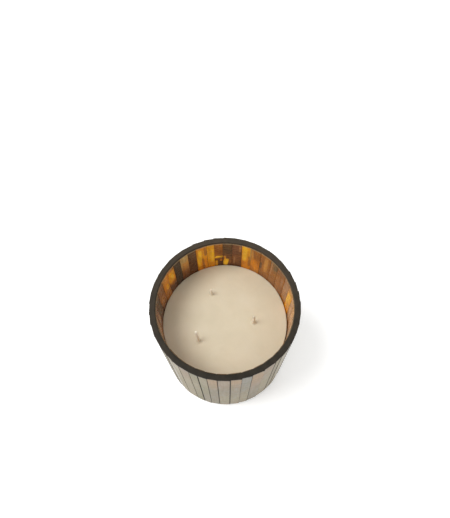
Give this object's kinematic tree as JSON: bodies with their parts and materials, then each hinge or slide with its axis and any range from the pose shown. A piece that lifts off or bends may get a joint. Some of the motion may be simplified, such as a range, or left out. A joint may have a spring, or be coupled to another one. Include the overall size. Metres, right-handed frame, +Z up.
{
  "type": "three-wick candle in a shell-clad vessel",
  "caption": "Filled candle with cotton wicks in a round, slightly tapered resin cup, clad in flat pearl shell staves and lined with amber and brown shell strips.",
  "frame": {"origin": "on the vessel's axis, on the surface that it stands on", "axes": "+Z up along the vessel's axis, -Y towards the viewer, +X to the viewer's right"},
  "size_m": [0.1303, 0.1303, 0.125],
  "materials": {
    "black_resin": "cast black resin, sanded satin",
    "pearl_shell": "polished pale pearl shell strips, faint vertical streaks",
    "shell_amber": "polished amber shell",
    "shell_brown": "polished reddish brown shell",
    "shell_dark": "polished dark brown shell",
    "shell_tan": "polished tan shell",
    "wax": "smooth poured cream wax",
    "wick_cotton": "braided cotton, waxed",
    "tab_metal": "stamped tinned sheet",
    "sticker": "foam adhesive dot",
    "felt": "black pressed felt"
  },
  "bodies": {
    "root": {"base_felt": "felt", "core_cup": "black_resin", "inner_strips_amber": "shell_amber", "inner_strips_brown": "shell_brown", "inner_strips_dark": "shell_dark", "inner_strips_tan": "shell_tan", "rim_ring": "black_resin", "stave_01": "pearl_shell", "stave_02": "pearl_shell", "stave_03": "pearl_shell", "stave_04": "pearl_shell", "stave_05": "pearl_shell", "stave_06": "pearl_shell", "stave_07": "pearl_shell", "stave_08": "pearl_shell", "stave_09": "pearl_shell", "stave_10": "pearl_shell", "stave_11": "pearl_shell", "stave_12": "pearl_shell", "stave_13": "pearl_shell", "stave_14": "pearl_shell", "stave_15": "pearl_shell", "stave_16": "pearl_shell", "stave_17": "pearl_shell", "stave_18": "pearl_shell", "stave_19": "pearl_shell", "stave_20": "pearl_shell", "stave_21": "pearl_shell", "stave_22": "pearl_shell", "stave_23": "pearl_shell", "stave_24": "pearl_shell", "stave_25": "pearl_shell", "stave_26": "pearl_shell", "stave_27": "pearl_shell", "stave_28": "pearl_shell", "stave_29": "pearl_shell", "stave_30": "pearl_shell", "stave_31": "pearl_shell", "stave_32": "pearl_shell", "stave_33": "pearl_shell", "stave_34": "pearl_shell", "stave_35": "pearl_shell", "stave_36": "pearl_shell", "stave_37": "pearl_shell", "stave_38": "pearl_shell", "stave_39": "pearl_shell", "stave_40": "pearl_shell", "stave_41": "pearl_shell", "stave_42": "pearl_shell", "stave_43": "pearl_shell", "stave_44": "pearl_shell", "stave_45": "pearl_shell", "wax_fill": "wax", "wick_back": "wick_cotton", "wick_front": "wick_cotton", "wick_right": "wick_cotton", "wick_stickers": "sticker", "wick_tabs": "tab_metal"}
  },
  "joints": []
}
